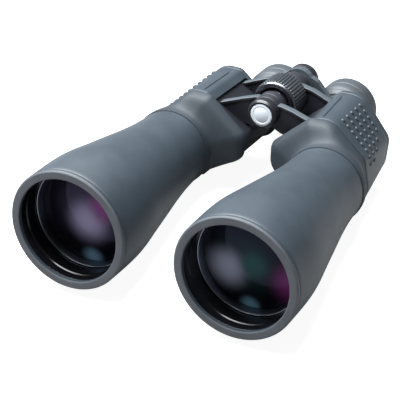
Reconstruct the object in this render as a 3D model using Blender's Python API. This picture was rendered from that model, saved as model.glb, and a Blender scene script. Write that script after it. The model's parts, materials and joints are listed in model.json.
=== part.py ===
"""Astronomy binoculars with 70 mm objectives, a Porro-prism body and centre focus.

Everything is modelled in a level frame: X runs across the pair (+X is the user's
left), Y runs from the objectives back to the eyepieces, Z is up, the objective axes
lie at Z = 0 and the front of the objective rims at Y = 0. The empty "stand" then tips
the level frame until both bells and both prism housings rest on Z = 0.
Lengths are in metres.
"""
import math

import bmesh
import bpy
from mathutils import Matrix, Vector

MM = 0.001
GAP = 0.3 * MM                      # clearance between neighbouring pieces

# ---- driving dimensions -------------------------------------------------------
OBJECTIVE_X = 59.65 * MM            # half the spacing of the objective axes
EYEPIECE_X = 28.0 * MM              # half the smallest eye distance
EYEPIECE_Z = 4.9 * MM
HINGE_Z = 31.0 * MM

RIM_RADIUS = 42.1 * MM
RIM_OPENING = 36.25 * MM
RIM_LENGTH = 3.0 * MM
BELL_RADIUS = 42.2 * MM             # widest place of the objective barrel
BELL_Y = 26.0 * MM
BARREL_END_Y = 141.8 * MM
BARREL_END_RADIUS = 28.3 * MM
SPIGOT_RADIUS = 25.0 * MM
SPIGOT_END_Y = 149.0 * MM
CELL_RADIUS = 39.2 * MM
CELL_BORE = 36.2 * MM
CELL_END_Y = 44.6 * MM
LENS_RADIUS = 35.8 * MM

COLLAR_Y = 142.1 * MM
COLLAR_RADIUS = 29.0 * MM
SEAM_Y = 163.0 * MM                 # front cover meets the prism housing
HOUSING_END_Y = 213.0 * MM
COVER_END_Y = 218.5 * MM
ARMOUR = 1.5 * MM                   # thickness of the rubber sleeve
HOUSING_INSET = ARMOUR + 2 * GAP    # the cast box under the sleeve
WALL = 2.2 * MM

# Corners (x, z, rounding radius) of the left covers' outline at the front seam and the rear.
SEAM_CORNERS = [(38.4, 38.9, 7), (54.5, 39.8, 15), (80.5, 17, 12), (87, -8, 18), (74, -31, 14),
                (57, -31, 10), (40, -17.5, 16), (10.2, -5.8, 12), (10.2, 13.7, 9)]
REAR_CORNERS = [(40.5, 39.3, 7), (56, 39.8, 16), (80.5, 11, 12), (77.5, -10, 16), (66, -30, 13),
                (54, -30, 10), (38, -17.5, 16), (10, -7, 12), (10, 14, 9)]
# Behind the front cover the inner wall stands back, less and less towards the rear:
# shifts (x, z) of the corners it runs between.
SET_BACK = {0: (4.5, 0), 8: (0, -4)}
ARMOUR_LEAD = 5.0 * MM              # how far the sleeve laps down the inner wall
HOUSING_DEPTH = 31 * MM             # underside of the housing below the objective axes

HINGE_TUBE_RADIUS = 6.5 * MM
HINGE_TUBE_BORE = 4.6 * MM
HINGE_TUBE_Y = (166.0 * MM, 225.6 * MM)
HUB_RADIUS = 11.0 * MM
HUB_BORE = HINGE_TUBE_RADIUS + 0.1 * MM
FRONT_HUB_Y = {"left": (171.3 * MM, 177.5 * MM), "right": (177.8 * MM, 184.0 * MM)}
REAR_HUB_Y = {"left": (208.4 * MM, 214.6 * MM), "right": (214.9 * MM, 226.0 * MM)}
SOCKET_RADIUS = 3.175 * MM          # quarter-inch tripod thread
CAP_Y = (163.8 * MM, 170.9 * MM)
BADGE_RADIUS = 8.2 * MM

WHEEL_Y = (186.0 * MM, 207.6 * MM)
WHEEL_RADIUS = 16.9 * MM
WHEEL_CORE_RADIUS = 13.4 * MM
WHEEL_RIBS = 36

SLEEVE_RADIUS = 9.0 * MM
SLEEVE_Y = (221.0 * MM, 229.7 * MM)
SLEEVE_SEAT_Y = 218.0 * MM          # counterbore in the rear hub for the sleeve
ROD_RADIUS = 4.3 * MM
ROD_Y = (192.0 * MM, 240.0 * MM)
BRIDGE_Y = (230.0 * MM, 235.5 * MM)
BRIDGE_HUB_RADIUS = 11.5 * MM
END_CAP_Y = (235.8 * MM, 246.4 * MM)

OCULAR_RADIUS = 13.0 * MM
OCULAR_START_Y = 210.0 * MM
GUIDE_RADIUS = 15.0 * MM
GUIDE_Y = (213.6 * MM, 227.0 * MM)
HEAD_RADIUS = 17.5 * MM             # stout rear part of the ocular
HEAD_Y = (237.6 * MM, 250.0 * MM)
EYECUP_Y = (244.4 * MM, 268.3 * MM)
EYECUP_RADIUS = 22.4 * MM
DIOPTER_Y = (238.4 * MM, 243.8 * MM)

PRISM_FACE_Y = {"front": 181.0 * MM, "rear": 186.0 * MM}
PRISM_HALF_LENGTH = 17.5 * MM
PRISM_HALF_WIDTH = 9.2 * MM
RELAY_POINT = (46.0 * MM, 18.5 * MM)   # axis of the beam between the two prisms

FINE, MEDIUM, COARSE = 28, 22, 12   # sides of a turned piece

SIDES = {"left": 1, "right": -1}    # +X is the user's left


# ---- materials ----------------------------------------------------------------
def material(name, color, roughness, metallic=0.0):
    """One Principled material; color is linear RGB."""
    made = bpy.data.materials.new(name)
    made.use_nodes = True
    shader = made.node_tree.nodes["Principled BSDF"]
    shader.inputs["Base Color"].default_value = (*color, 1.0)
    shader.inputs["Roughness"].default_value = roughness
    shader.inputs["Metallic"].default_value = metallic
    return made


def all_materials():
    return {
        "armour": material("armour", (0.075, 0.09, 0.105), 0.5),
        "rim_rubber": material("rim_rubber", (0.09, 0.10, 0.125), 0.55),
        "painted_metal": material("painted_metal", (0.12, 0.14, 0.155), 0.42),
        "black_metal": material("black_metal", (0.008, 0.008, 0.010), 0.3, 0.4),
        "bright_metal": material("bright_metal", (0.62, 0.64, 0.66), 0.25, 1.0),
        "brass": material("brass", (0.60, 0.42, 0.16), 0.3, 1.0),
        "black_plastic": material("black_plastic", (0.03, 0.032, 0.038), 0.45),
        "wheel_rubber": material("wheel_rubber", (0.05, 0.056, 0.065), 0.6),
        "badge": material("badge", (0.75, 0.78, 0.80), 0.3),
        "objective_glass": material("objective_glass", (0.10, 0.07, 0.16), 0.03),
        "clear_glass": material("clear_glass", (0.80, 0.85, 0.85), 0.02),
    }


# ---- making objects -----------------------------------------------------------
def clear_scene():
    for item in list(bpy.data.objects):
        bpy.data.objects.remove(item, do_unlink=True)


def empty(name, at, parent=None):
    """A pivot empty at a point of the level frame."""
    pivot = bpy.data.objects.new(name, None)
    bpy.context.collection.objects.link(pivot)
    pivot.empty_display_size = 0.02
    pivot["at"] = at
    pivot.parent = parent
    home = Vector(parent["at"]) if parent else Vector()
    pivot.location = Vector(at) - home
    return pivot


def finish(name, bm, parent, look=None, at=None):
    """Turn bm, drawn in the level frame, into an object with its origin at `at`."""
    at = Vector(at if at is not None else parent["at"])
    bmesh.ops.recalc_face_normals(bm, faces=bm.faces)
    bmesh.ops.translate(bm, verts=bm.verts, vec=-at)
    mesh = bpy.data.meshes.new(name)
    bm.to_mesh(mesh)
    bm.free()
    mesh.shade_smooth()
    mesh.set_sharp_from_angle(angle=math.radians(35))
    made = bpy.data.objects.new(name, mesh)
    bpy.context.collection.objects.link(made)
    made.parent = parent
    made.location = at - Vector(parent["at"])
    if look:
        mesh.materials.append(look)
    return made


def use(made, tool, operation):
    """Apply a Boolean with a hidden tool object."""
    tool.hide_render = True
    tool.display_type = "WIRE"
    step = made.modifiers.new(f"{operation.lower()} {tool.name}", "BOOLEAN")
    step.operation = operation
    step.object = tool
    step.solver = "EXACT"


# ---- shapes -------------------------------------------------------------------
def turned(profile, center, sides, closed=True):
    """Spin a list of (radius, y) about the line parallel to Y through center (x, z)."""
    bm = bmesh.new()
    points = [bm.verts.new((radius, y, 0)) for radius, y in profile]
    pairs = list(zip(points, points[1:]))
    if closed:
        pairs.append((points[-1], points[0]))
    edges = [bm.edges.new(pair) for pair in pairs]
    bmesh.ops.spin(bm, geom=points + edges, cent=(0, 0, 0), axis=(0, 1, 0), dvec=(0, 0, 0),
                   angle=math.tau, steps=sides, use_merge=True, use_duplicate=False)
    bmesh.ops.remove_doubles(bm, verts=bm.verts, dist=0.002 * MM)
    bmesh.ops.translate(bm, verts=bm.verts, vec=(center[0], 0, center[1]))
    return bm


def tube(radius, bore, span, center, sides):
    """A plain tube, or a solid rod where bore is 0."""
    start, end = span
    if not bore:
        return turned([(0, start), (radius, start), (radius, end), (0, end)], center, sides, closed=False)
    return turned([(bore, start), (radius, start), (radius, end), (bore, end)], center, sides)


def inset(outline, depth):
    """Move each point of an outline inwards along its own normal."""
    middle = sum(outline, Vector((0, 0))) / len(outline)
    moved = []
    for index, point in enumerate(outline):
        along = outline[(index + 1) % len(outline)] - outline[index - 1]
        normal = Vector((along.y, -along.x)).normalized()
        if normal.dot(middle - point) < 0:
            normal = -normal
        moved.append(point + normal * depth)
    return moved


def blended_corners(y, set_back=False):
    """Outline corners at a place between the front seam and the rear cover's back."""
    share = (y - SEAM_Y) / (COVER_END_Y - SEAM_Y)
    corners = []
    for index, (front, rear) in enumerate(zip(SEAM_CORNERS, REAR_CORNERS)):
        x, z, radius = (a + (b - a) * share for a, b in zip(front, rear))
        if set_back and index in SET_BACK:
            back, down = SET_BACK[index]
            x, z = x + back * (1 - share), z + down * (1 - share)
        corners.append((x * MM, z * MM, radius * MM))
    return corners


CUTS = [max(1, math.ceil((there - here).length / (14 * MM))) for here, there in zip(
    [Vector(c[:2]) * MM for c in SEAM_CORNERS],
    [Vector(c[:2]) * MM for c in SEAM_CORNERS[1:] + SEAM_CORNERS[:1]])]

ARC_STEPS = 3
# The sleeve runs from the top face's inner corner, past five corners, to the underside.
ARMOUR_POINTS = slice(0, sum(CUTS[:5]) + 5 * ARC_STEPS + 2)


def section(y, depth=0.0, set_back=False):
    """Outline of the left covers at y, or of the housing where it is set back."""
    corners = blended_corners(y, set_back)
    arcs = []
    count = len(corners)
    for index, (x, z, radius) in enumerate(corners):
        corner = Vector((x, z))
        before = (Vector(corners[index - 1][:2]) - corner).normalized()
        after = (Vector(corners[(index + 1) % count][:2]) - corner).normalized()
        half = before.angle(after) / 2
        middle = corner + (before + after).normalized() * radius / math.sin(half)
        start = corner + before * radius / math.tan(half) - middle
        sweep = -(math.pi - 2 * half)
        arcs.append([middle + Matrix.Rotation(sweep * step / ARC_STEPS, 2) @ start
                     for step in range(ARC_STEPS + 1)])
    outline = []
    for arc, following, cuts in zip(arcs, arcs[1:] + arcs[:1], CUTS):
        outline += arc[:-1]
        outline += [arc[-1].lerp(following[0], cut / cuts) for cut in range(cuts)]
    return inset(outline, depth) if depth else outline


def skin(bm, rings, ends=True):
    """Join rings of points, each (x, y, z), into one closed skin."""
    loops = [[bm.verts.new(point) for point in ring] for ring in rings]
    count = len(loops[0])
    pairs = list(zip(loops, loops[1:]))
    if not ends:
        pairs.append((loops[-1], loops[0]))
    for first, second in pairs:
        for index in range(count):
            following = (index + 1) % count
            bm.faces.new((first[index], first[following], second[following], second[index]))
    if ends:
        bm.faces.new(loops[0])
        bm.faces.new(loops[-1])


def ring_at(side, outline, y):
    return [(side * point.x, y, point.y) for point in outline]


# ---- optics and barrels -------------------------------------------------------
def objective_pieces(name, side, half, looks):
    center = (side * OBJECTIVE_X, 0)
    at = (side * OBJECTIVE_X, 0, 0)

    edge = 1.1 * MM
    rim = [(RIM_OPENING, 0.6 * MM), (RIM_OPENING + 0.6 * MM, 0), (RIM_RADIUS - edge, 0),
           (RIM_RADIUS - 0.3 * edge, 0.3 * edge), (RIM_RADIUS, edge), (RIM_RADIUS, RIM_LENGTH),
           (RIM_OPENING, RIM_LENGTH)]
    finish(f"{name}_objective_rim", turned(rim, center, FINE), half, looks["rim_rubber"], at)

    front = RIM_LENGTH + GAP
    seat = CELL_RADIUS + GAP
    barrel = [(seat, front), (RIM_RADIUS, front), (BELL_RADIUS, BELL_Y), (41.2 * MM, 41 * MM),
              (38.1 * MM, 61 * MM), (31.8 * MM, 102 * MM), (29.6 * MM, 121 * MM),
              (BARREL_END_RADIUS, BARREL_END_Y), (SPIGOT_RADIUS, BARREL_END_Y),
              (SPIGOT_RADIUS, SPIGOT_END_Y), (SPIGOT_RADIUS - 1.6 * MM, SPIGOT_END_Y),
              (27.0 * MM, 121 * MM), (38.2 * MM, CELL_END_Y + GAP), (seat, CELL_END_Y + GAP)]
    finish(f"{name}_barrel", turned(barrel, center, FINE), half, looks["armour"], at)

    shelf = 31.8 * MM               # shoulder behind the glass
    cell = [(CELL_BORE, front), (CELL_RADIUS, front), (CELL_RADIUS, CELL_END_Y),
            (shelf, CELL_END_Y), (shelf, CELL_END_Y - 2 * MM), (CELL_BORE, CELL_END_Y - 2 * MM)]
    finish(f"{name}_lens_cell", turned(cell, center, FINE), half, looks["black_metal"], at)

    glass_y = 27.6 * MM             # edge of the front surface
    outer = CELL_BORE - GAP
    ring = [(34.2 * MM, glass_y - 1.6 * MM), (35.3 * MM, 20.5 * MM), (outer, 20.5 * MM),
            (outer, glass_y - GAP), (34.2 * MM, glass_y - GAP)]
    finish(f"{name}_retaining_ring", turned(ring, center, FINE), half, looks["black_metal"], at)

    bulge, shared, back = 3.0 * MM, 3.6 * MM, 1.0 * MM
    crown_edge, flint_edge = 31.5 * MM, 39.6 * MM
    crown = lens(glass_y, bulge, crown_edge, shared)
    flint = lens(crown_edge + GAP, -shared, flint_edge, back)
    for part, profile in (("crown", crown), ("flint", flint)):
        bm = turned(profile, center, MEDIUM, closed=False)
        finish(f"{name}_objective_{part}", bm, half, looks["objective_glass"], at)


def lens(front_y, front_bulge, back_y, back_bulge, radius=LENS_RADIUS, steps=3):
    """Profile from axis to axis; a positive bulge makes that surface convex."""
    front = [(radius * step / steps, front_y - front_bulge * (1 - (step / steps) ** 2))
             for step in range(steps + 1)]
    back = [(radius * step / steps, back_y + back_bulge * (1 - (step / steps) ** 2))
            for step in range(steps, -1, -1)]
    return front + back


# ---- prism housing ------------------------------------------------------------
def front_cover(name, side, half, look):
    """Shoulder that leads from the barrel's round collar to the housing's outline."""
    outline = section(SEAM_Y)
    axis = Vector((OBJECTIVE_X, 0))

    def blend(y, share, radius, edge):
        """Ring part of the way from a circle about the objective axis to an outline."""
        ring = []
        for point, outer in zip(outline, edge):
            circle = axis + (point - axis).normalized() * radius
            ring.append(circle.lerp(outer, share))
        return ring_at(side, ring, y)

    # share of the way outwards against share of the way back: fillet, slope, round edge
    rise = [(0.02, 0.2), (0.08, 0.3), (0.45, 0.52), (0.83, 0.72), (0.96, 0.86), (1.0, 1.0)]
    depth = SEAM_Y - COLLAR_Y
    rings = [blend(COLLAR_Y, 0, COLLAR_RADIUS, outline)]
    rings += [blend(COLLAR_Y + depth * back, out, COLLAR_RADIUS, outline) for out, back in rise]
    inner = section(SEAM_Y, HOUSING_INSET + WALL)
    bore = SPIGOT_RADIUS + 1.2 * MM     # its long facets stay clear of the spigot
    rings += [blend(SEAM_Y, 1, bore, inner), blend(SEAM_Y - 3 * MM, 1, bore, inner),
              blend(SPIGOT_END_Y + 0.5 * MM, 0, bore, inner), blend(COLLAR_Y, 0, bore, inner)]
    bm = bmesh.new()
    skin(bm, rings, ends=False)
    return finish(f"{name}_front_cover", bm, half, look, (side * OBJECTIVE_X, SEAM_Y, 0))


def housing_shell(name, side, half, look):
    """Cast prism box, open at the front and rear where the covers close it."""
    start = SEAM_Y + GAP
    step = HOUSING_INSET
    rings = [ring_at(side, section(y, depth, True), y) for y, depth in (
        (start, step), (HOUSING_END_Y, step), (HOUSING_END_Y, step + WALL), (start, step + WALL))]
    bm = bmesh.new()
    skin(bm, rings, ends=False)
    finish(f"{name}_prism_housing", bm, half, look, (side * OBJECTIVE_X, SEAM_Y, 0))


def armour_line(y, depth=0.0):
    """The housing's outline along the sleeve, led a little way down the inner wall."""
    outline = section(y, depth, True)
    down = (outline[-1] - outline[0]).normalized()
    return [outline[0] + down * ARMOUR_LEAD] + outline[ARMOUR_POINTS]


def housing_armour(name, side, half, look):
    """Rubber sleeve around the top, outer and under sides of the housing."""
    start = SEAM_Y + GAP
    bm = bmesh.new()
    rings = []
    for y in (start, HOUSING_END_Y):
        outer, inner = armour_line(y), armour_line(y, ARMOUR)
        rings.append(ring_at(side, outer + inner[::-1], y))
    skin(bm, rings)
    finish(f"{name}_housing_armour", bm, half, look, (side * OBJECTIVE_X, SEAM_Y, 0))


def rear_cover(name, side, half, look):
    rounding = 1.2 * MM
    start = HOUSING_END_Y + GAP
    rings = [ring_at(side, section(start), start),
             ring_at(side, section(COVER_END_Y - rounding), COVER_END_Y - rounding),
             ring_at(side, section(COVER_END_Y, rounding), COVER_END_Y)]
    bm = bmesh.new()
    skin(bm, rings)
    cover = finish(f"{name}_rear_cover", bm, half, look, (side * OBJECTIVE_X, SEAM_Y, 0))
    hole = tube(GUIDE_RADIUS + GAP, 0, (start - 5 * MM, COVER_END_Y + 5 * MM),
                (side * EYEPIECE_X, EYEPIECE_Z), MEDIUM)
    use(cover, finish(f"cutter_{name}_guide", hole, half), "DIFFERENCE")


def strap_lug(name, side, half, look):
    """A loop on the rear cover; the strap passes through it across the housing."""
    x, z = side * 66 * MM, 2 * MM
    start = COVER_END_Y + GAP
    width, reach, thick, slot = 12 * MM, 8.4 * MM, 4 * MM, 5.3 * MM
    wall = 1.8 * MM
    bm = bmesh.new()
    outline = [(-width / 2, 0), (width / 2, 0), (width / 2, reach - 2 * MM),
               (width / 2 - 2 * MM, reach), (2 * MM - width / 2, reach),
               (-width / 2, reach - 2 * MM)]
    rings = [[(x + level, start + back, z + along) for along, back in outline]
             for level in (-thick / 2, thick / 2)]
    skin(bm, rings)
    lug = finish(f"{name}_strap_lug", bm, half, look, (x, start, z))
    hole = bmesh.new()
    half_slot = width / 2 - wall
    outline = [(-half_slot, 1.1 * MM), (half_slot, 1.1 * MM), (half_slot, 1.1 * MM + slot),
               (-half_slot, 1.1 * MM + slot)]
    skin(hole, [[(x + level, start + back, z + along) for along, back in outline]
                for level in (-thick, thick)])
    use(lug, finish(f"cutter_{name}_strap", hole, half), "DIFFERENCE")


# ---- prisms -------------------------------------------------------------------
def prism_frame(name, side, which):
    """Centre, long direction and cross direction of a prism in the X-Z plane."""
    relay = Vector(RELAY_POINT)
    end = Vector((OBJECTIVE_X, 0)) if which == "rear" else Vector((EYEPIECE_X, EYEPIECE_Z))
    middle = (relay + end) / 2
    along = (relay - end).normalized()
    across = Vector((-along.y, along.x))
    return middle, along, across


def prism(name, side, which, half, looks):
    """Right-angle prism: its long face meets the shelf and its roof points away."""
    middle, along, across = prism_frame(name, side, which)
    face = PRISM_FACE_Y[which]
    away = 1 if which == "rear" else -1
    tip = 2 * MM                    # flat ground on the roof edge
    profile = [(-PRISM_HALF_LENGTH, 0), (PRISM_HALF_LENGTH, 0),
               (tip, PRISM_HALF_LENGTH - tip), (-tip, PRISM_HALF_LENGTH - tip)]
    bm = bmesh.new()
    rings = []
    for edge in (-PRISM_HALF_WIDTH, PRISM_HALF_WIDTH):
        spots = [(middle + along * out + across * edge, face + away * up) for out, up in profile]
        rings.append([(side * spot.x, y, spot.y) for spot, y in spots])
    skin(bm, rings)
    at = (side * middle.x, face, middle.y)
    finish(f"{name}_{which}_prism", bm, half, looks["clear_glass"], at)


def prism_clip(name, side, half, look):
    """Spring strap bent over the roof of the rear prism."""
    middle, along, across = prism_frame(name, side, "rear")
    face = PRISM_FACE_Y["rear"]
    tip, sheet = 2 * MM, 0.8 * MM
    roof = PRISM_HALF_LENGTH - tip
    clear = GAP * math.sqrt(2)

    def chevron(extra):
        return [(-roof / 2 - tip - extra * 1.414, roof / 2), (-tip - extra * 0.414, roof + extra),
                (tip + extra * 0.414, roof + extra), (roof / 2 + tip + extra * 1.414, roof / 2)]

    profile = chevron(clear) + chevron(clear + sheet)[::-1]
    bm = bmesh.new()
    rings = []
    for edge in (-3 * MM, 3 * MM):
        spots = [(middle + along * out + across * edge, face + up) for out, up in profile]
        rings.append([(side * spot.x, y, spot.y) for spot, y in spots])
    skin(bm, rings)
    finish(f"{name}_prism_clip", bm, half, look, (side * middle.x, face, middle.y))


def prism_shelf(name, side, half, look):
    """Plate between the prisms, with a window for each of the three beams."""
    start, end = PRISM_FACE_Y["front"] + GAP, PRISM_FACE_Y["rear"] - GAP
    depth = HOUSING_INSET + WALL + 7 * GAP
    bm = bmesh.new()
    skin(bm, [ring_at(side, section(y, depth, True), y) for y in (start, end)])
    shelf = finish(f"{name}_prism_shelf", bm, half, look, (side * OBJECTIVE_X, start, 0))
    windows = (("objective", OBJECTIVE_X, 0), ("relay", *RELAY_POINT),
               ("eyepiece", EYEPIECE_X, EYEPIECE_Z))
    for window, x, z in windows:
        hole = tube(8 * MM, 0, (start - 2 * MM, end + 2 * MM), (side * x, z), 16)
        use(shelf, finish(f"cutter_{name}_{window}", hole, half), "DIFFERENCE")


# ---- hinge --------------------------------------------------------------------
def hinge_arm(name, side, half, which, hub_y, stations, look):
    """Flat arm from a hub on the hinge axis to the housing's inner wall.

    stations are (x, front y, back y, bottom z, top z) from the hub outwards; the
    housing's own outline trims the arm's end.
    """
    bm = bmesh.new()
    rings = [[(side * x, front, low), (side * x, back, low), (side * x, back, high),
              (side * x, front, high)] for x, front, back, low, high in stations]
    skin(bm, rings)
    arm = finish(f"{name}_{which}_arm", bm, half, look)
    keep_out = bmesh.new()
    start, end = SEAM_Y + GAP, HOUSING_END_Y
    wall = HOUSING_INSET - GAP
    levels = [(SEAM_Y - 4 * MM, -GAP, False), (start, -GAP, False), (start, wall, True),
              (end, wall, True), (end, -GAP, False), (COVER_END_Y + GAP, -GAP, False)]
    skin(keep_out, [ring_at(side, section(*level), level[0]) for level in levels])
    use(arm, finish(f"cutter_{name}_{which}_wall", keep_out, half), "DIFFERENCE")
    center = (0, HINGE_Z)
    hub = tube(HUB_RADIUS, 0, hub_y, center, MEDIUM)
    use(arm, finish(f"cutter_{name}_{which}_hub", hub, half), "UNION")
    start, end = hub_y[0] - 2 * MM, hub_y[1] + 2 * MM
    profile = [(0, start), (HUB_BORE, start), (HUB_BORE, end), (0, end)]
    if hub_y[1] > SLEEVE_SEAT_Y:    # the longest hub also takes the end of the focus sleeve
        wide = SLEEVE_RADIUS + 0.2 * MM
        profile[2:3] = [(HUB_BORE, SLEEVE_SEAT_Y), (wide, SLEEVE_SEAT_Y), (wide, end)]
    bore = turned(profile, center, MEDIUM, closed=False)
    use(arm, finish(f"cutter_{name}_{which}_bore", bore, half), "DIFFERENCE")


def hinge_arms(name, side, half, look):
    step = 0.25 * MM                # the plates are a little thinner than their hubs
    near, reach, bend = 2 * MM, 11.6 * MM, 20 * MM      # reach is clear of the other hub
    end = 35 * MM
    low = HINGE_Z - HUB_RADIUS + 1 * MM

    front, back = FRONT_HUB_Y[name]
    front, back = front + step, back - step
    turn = front if name == "left" else front - 3 * MM
    stations = [(near, front, back, low, 37.6 * MM), (reach, front, back, 16 * MM, 37.2 * MM),
                (bend, turn, turn + back - front, 14 * MM, 35.3 * MM),
                (end, 170.2 * MM, 175.9 * MM, 8 * MM, 31.0 * MM)]
    hinge_arm(name, side, half, "front", FRONT_HUB_Y[name], stations, look)

    front = REAR_HUB_Y[name][0] + step
    back = front + 5.7 * MM
    turn = front if name == "left" else front - 4 * MM
    stations = [(near, front, back, low, 39.6 * MM), (reach, front, back, 16 * MM, 39.0 * MM),
                (bend, turn, turn + back - front, 14 * MM, 37.2 * MM),
                (end, 206.9 * MM, 212.6 * MM, 12 * MM, 32.2 * MM)]
    hinge_arm(name, side, half, "rear", REAR_HUB_Y[name], stations, look)


def hinge_core(half, looks):
    """Fixed tube through both pairs of hubs, with the tripod bush in its front end."""
    center = (0, HINGE_Z)
    start, end = HINGE_TUBE_Y
    finish("hinge_tube", tube(HINGE_TUBE_RADIUS, HINGE_TUBE_BORE, (start, end), center, COARSE),
           half, looks["bright_metal"])
    bush = tube(HINGE_TUBE_BORE - GAP, SOCKET_RADIUS, (start, start + 13 * MM), center, COARSE)
    finish("tripod_bush", bush, half, looks["brass"])


def tripod_cap(half, looks):
    start, end = CAP_Y
    pivot = empty("pivot_tripod_cap", (0, start, HINGE_Z), half)
    center = (0, HINGE_Z)
    recess, cavity = 0.8 * MM, HINGE_TUBE_RADIUS + 0.5 * MM
    edge = 1.0 * MM
    outer = HUB_RADIUS
    seat = BADGE_RADIUS + GAP
    cap = [(0, start + recess), (seat, start + recess), (seat, start), (outer - edge, start),
           (outer, start + edge), (outer, end), (cavity, end), (cavity, start + 1.9 * MM),
           (0, start + 1.9 * MM)]
    finish("tripod_cap", turned(cap, center, MEDIUM, closed=False), pivot, looks["black_plastic"])
    badge = tube(BADGE_RADIUS, 0, (start + 0.1 * MM, start + recess - 0.1 * MM), center, MEDIUM)
    finish("cap_badge", badge, pivot, looks["badge"])


# ---- focusing -----------------------------------------------------------------
def focus_wheel(half, looks):
    pivot = empty("pivot_focus_wheel", (0, WHEEL_Y[0], HINGE_Z), half)
    center = (0, HINGE_Z)
    start, end = WHEEL_Y
    cone = [(HUB_BORE, start + 1 * MM), (HUB_BORE + 1.6 * MM, start + 1 * MM),
            (WHEEL_CORE_RADIUS - 1.2 * MM, start + 6 * MM), (WHEEL_CORE_RADIUS - 1.2 * MM, start),
            (WHEEL_CORE_RADIUS, start), (WHEEL_CORE_RADIUS, end), (HUB_BORE, end)]
    finish("focus_wheel_core", turned(cone, center, MEDIUM), pivot, looks["black_plastic"])

    trim_end = start + 1.8 * MM
    bore = WHEEL_CORE_RADIUS + 0.1 * MM
    trim = [(bore, start), (WHEEL_RADIUS - 1.4 * MM, start), (WHEEL_RADIUS - 0.5 * MM, start + 0.7 * MM),
            (WHEEL_RADIUS - 0.5 * MM, trim_end), (bore, trim_end)]
    finish("focus_wheel_trim", turned(trim, center, MEDIUM), pivot, looks["bright_metal"])

    bm = bmesh.new()
    rings = []
    valley = WHEEL_RADIUS - 0.7 * MM
    for y in (trim_end + GAP, end):
        ring = []
        for index in range(2 * WHEEL_RIBS):
            radius = WHEEL_RADIUS if index % 2 else valley
            angle = math.tau * index / (2 * WHEEL_RIBS)
            ring.append((radius * math.cos(angle), y, HINGE_Z + radius * math.sin(angle)))
        rings.append(ring)
    skin(bm, rings)
    grip = finish("focus_wheel_grip", bm, pivot, looks["wheel_rubber"])
    hole = tube(bore, 0, (start - 1 * MM, end + 1 * MM), center, MEDIUM)
    use(grip, finish("cutter_grip_bore", hole, pivot), "DIFFERENCE")


def bridge_arm(name, side, bridge, hub_y, look):
    """Arm of the eyepiece bridge: half-lapped hub, web and the ring around the ocular."""
    start, end = BRIDGE_Y
    step = 0.2 * MM                 # the web is a little thinner than the ring and the hub
    eye = (side * EYEPIECE_X, EYEPIECE_Z)
    arm = finish(f"{name}_bridge_arm", tube(HEAD_RADIUS, 0, (start, end), eye, FINE), bridge, look)

    def plate(part, corners, span):
        bm = bmesh.new()
        skin(bm, [[(side * x * MM, y, z * MM) for x, z in corners] for y in span])
        return finish(f"cutter_{name}_{part}", bm, bridge)

    web = [(2, 41.2), (15, 35.2), (27, 21.8), (14, 6), (6, 12), (2, 20)]
    use(arm, plate("web", web, (start + step, end - step)), "UNION")
    lap = tube(BRIDGE_HUB_RADIUS + GAP, 0, (start - 2 * MM, end + 2 * MM), (0, HINGE_Z), MEDIUM)
    use(arm, finish(f"cutter_{name}_lap", lap, bridge), "DIFFERENCE")
    tongue = [(2, 40.8), (16, 34.2), (14, 18), (4, 21.0)]
    use(arm, plate("tongue", tongue, (hub_y[0] + 2 * step, hub_y[1] - 2 * step)), "UNION")
    hub = tube(BRIDGE_HUB_RADIUS, 0, hub_y, (0, HINGE_Z), MEDIUM)
    use(arm, finish(f"cutter_{name}_bridge_hub", hub, bridge), "UNION")
    holes = (("rod", ROD_RADIUS + GAP, (0, HINGE_Z)), ("ring", OCULAR_RADIUS + GAP, eye))
    for part, radius, spot in holes:
        hole = tube(radius, 0, (start - 3 * MM, end + 3 * MM), spot, MEDIUM)
        use(arm, finish(f"cutter_{name}_bridge_{part}", hole, bridge), "DIFFERENCE")


def focus_core(bridge, looks):
    """Rod, sleeve and end cap that carry the bridge along the hinge axis."""
    center = (0, HINGE_Z)
    finish("focus_rod", tube(ROD_RADIUS, 0, ROD_Y, center, COARSE), bridge, looks["bright_metal"])
    sleeve = tube(SLEEVE_RADIUS, HINGE_TUBE_RADIUS + GAP, SLEEVE_Y, center, MEDIUM)
    finish("focus_sleeve", sleeve, bridge, looks["painted_metal"])
    start, end = END_CAP_Y
    outer = BRIDGE_HUB_RADIUS + 0.4 * MM
    bore, depth = ROD_RADIUS + GAP, ROD_Y[1] + GAP
    dome = [(0, depth), (bore, depth), (bore, start), (outer, start), (outer, start + 6.2 * MM),
            (outer - 1.2 * MM, start + 9 * MM), (outer - 3.6 * MM, end), (0, end)]
    finish("bridge_end_cap", turned(dome, center, MEDIUM, closed=False), bridge,
           looks["black_plastic"])


# ---- eyepieces ----------------------------------------------------------------
def eyepiece_guide(name, side, half, look):
    bm = tube(GUIDE_RADIUS, OCULAR_RADIUS + GAP, GUIDE_Y, (side * EYEPIECE_X, EYEPIECE_Z), MEDIUM)
    finish(f"{name}_eyepiece_guide", bm, half, look, (side * EYEPIECE_X, GUIDE_Y[0], EYEPIECE_Z))


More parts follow.
